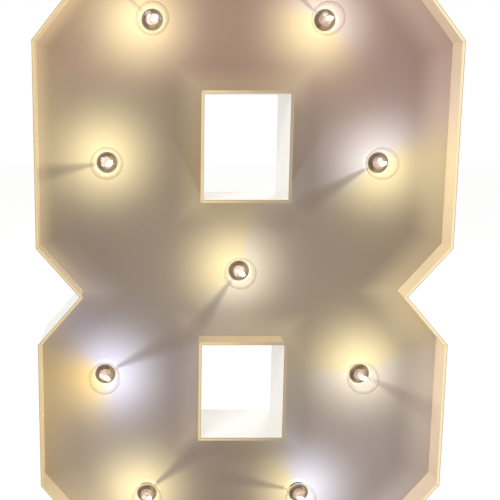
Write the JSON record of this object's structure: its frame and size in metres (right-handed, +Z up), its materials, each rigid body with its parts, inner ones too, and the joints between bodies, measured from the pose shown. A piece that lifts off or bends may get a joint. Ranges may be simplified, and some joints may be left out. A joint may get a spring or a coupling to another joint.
{
  "type": "marquee number light",
  "caption": "White folded-metal marquee figure eight with see-through windows, clear round bulbs on a recessed face, and a rocker switch and cable gland behind.",
  "frame": {"origin": "middle of the underside that the sign stands on", "axes": "+Z up, front towards -Y, +X to the right as seen from the front"},
  "size_m": [0.58, 0.1438, 0.9],
  "materials": {
    "sheet_white": "satin paint",
    "plain_steel": "zinc plated",
    "holder_white": "gloss",
    "brass": "plain",
    "switch_black": "matt",
    "rocker_black": "gloss",
    "gland_black": "matt",
    "block_white": "matt",
    "cable_white": "satin",
    "cable_green": "satin",
    "bulb_glass": "clear",
    "cap_metal": "nickel plated",
    "stem_glass": "clear stem with a glowing filament"
  },
  "bodies": {
    "sign": {"face_panel": "sheet_white", "return_upper": "sheet_white", "return_lower": "sheet_white", "window_return_upper": "sheet_white", "window_return_lower": "sheet_white", "waist_splices": "plain_steel", "rear_cover": "sheet_white", "cover_screws": "plain_steel", "ring_nuts": "holder_white", "socket_shells": "brass", "socket_contacts": "brass", "switch_body": "switch_black", "switch_tabs": "brass", "gland_body": "gland_black", "gland_nut": "gland_black", "gland_cap": "gland_black", "terminal_block": "block_white", "holder_wiring": "cable_white", "feed_leads": "cable_white", "earth_lead": "cable_green", "earth_stud": "brass", "lampholder_1": "holder_white", "lampholder_2": "holder_white", "lampholder_3": "holder_white", "lampholder_4": "holder_white", "lampholder_5": "holder_white", "lampholder_6": "holder_white", "lampholder_7": "holder_white", "lampholder_8": "holder_white", "lampholder_9": "holder_white"},
    "rocker": {"switch_rocker": "rocker_black"},
    "bulb_1": {"bulb_1_globe": "bulb_glass", "bulb_1_cap": "cap_metal", "bulb_1_mount": "stem_glass"},
    "bulb_2": {"bulb_2_globe": "bulb_glass", "bulb_2_cap": "cap_metal", "bulb_2_mount": "stem_glass"},
    "bulb_3": {"bulb_3_globe": "bulb_glass", "bulb_3_cap": "cap_metal", "bulb_3_mount": "stem_glass"},
    "bulb_4": {"bulb_4_globe": "bulb_glass", "bulb_4_cap": "cap_metal", "bulb_4_mount": "stem_glass"},
    "bulb_5": {"bulb_5_globe": "bulb_glass", "bulb_5_cap": "cap_metal", "bulb_5_mount": "stem_glass"},
    "bulb_6": {"bulb_6_globe": "bulb_glass", "bulb_6_cap": "cap_metal", "bulb_6_mount": "stem_glass"},
    "bulb_7": {"bulb_7_globe": "bulb_glass", "bulb_7_cap": "cap_metal", "bulb_7_mount": "stem_glass"},
    "bulb_8": {"bulb_8_globe": "bulb_glass", "bulb_8_cap": "cap_metal", "bulb_8_mount": "stem_glass"},
    "bulb_9": {"bulb_9_globe": "bulb_glass", "bulb_9_cap": "cap_metal", "bulb_9_mount": "stem_glass"}
  },
  "joints": [
    {"name": "rocker_tilt", "type": "hinge", "parent": "sign", "child": "rocker", "pos_m": [-0.07, 0.06, 0.07], "axis": [1, 0, 0], "range_deg": [0, 24]},
    {"name": "bulb_1_out", "type": "slide", "parent": "sign", "child": "bulb_1", "axis": [0, -1, 0], "range_m": [0, 0.032]},
    {"name": "bulb_2_out", "type": "slide", "parent": "sign", "child": "bulb_2", "axis": [0, -1, 0], "range_m": [0, 0.032]},
    {"name": "bulb_3_out", "type": "slide", "parent": "sign", "child": "bulb_3", "axis": [0, -1, 0], "range_m": [0, 0.032]},
    {"name": "bulb_4_out", "type": "slide", "parent": "sign", "child": "bulb_4", "axis": [0, -1, 0], "range_m": [0, 0.032]},
    {"name": "bulb_5_out", "type": "slide", "parent": "sign", "child": "bulb_5", "axis": [0, -1, 0], "range_m": [0, 0.032]},
    {"name": "bulb_6_out", "type": "slide", "parent": "sign", "child": "bulb_6", "axis": [0, -1, 0], "range_m": [0, 0.032]},
    {"name": "bulb_7_out", "type": "slide", "parent": "sign", "child": "bulb_7", "axis": [0, -1, 0], "range_m": [0, 0.032]},
    {"name": "bulb_8_out", "type": "slide", "parent": "sign", "child": "bulb_8", "axis": [0, -1, 0], "range_m": [0, 0.032]},
    {"name": "bulb_9_out", "type": "slide", "parent": "sign", "child": "bulb_9", "axis": [0, -1, 0], "range_m": [0, 0.032]}
  ]
}
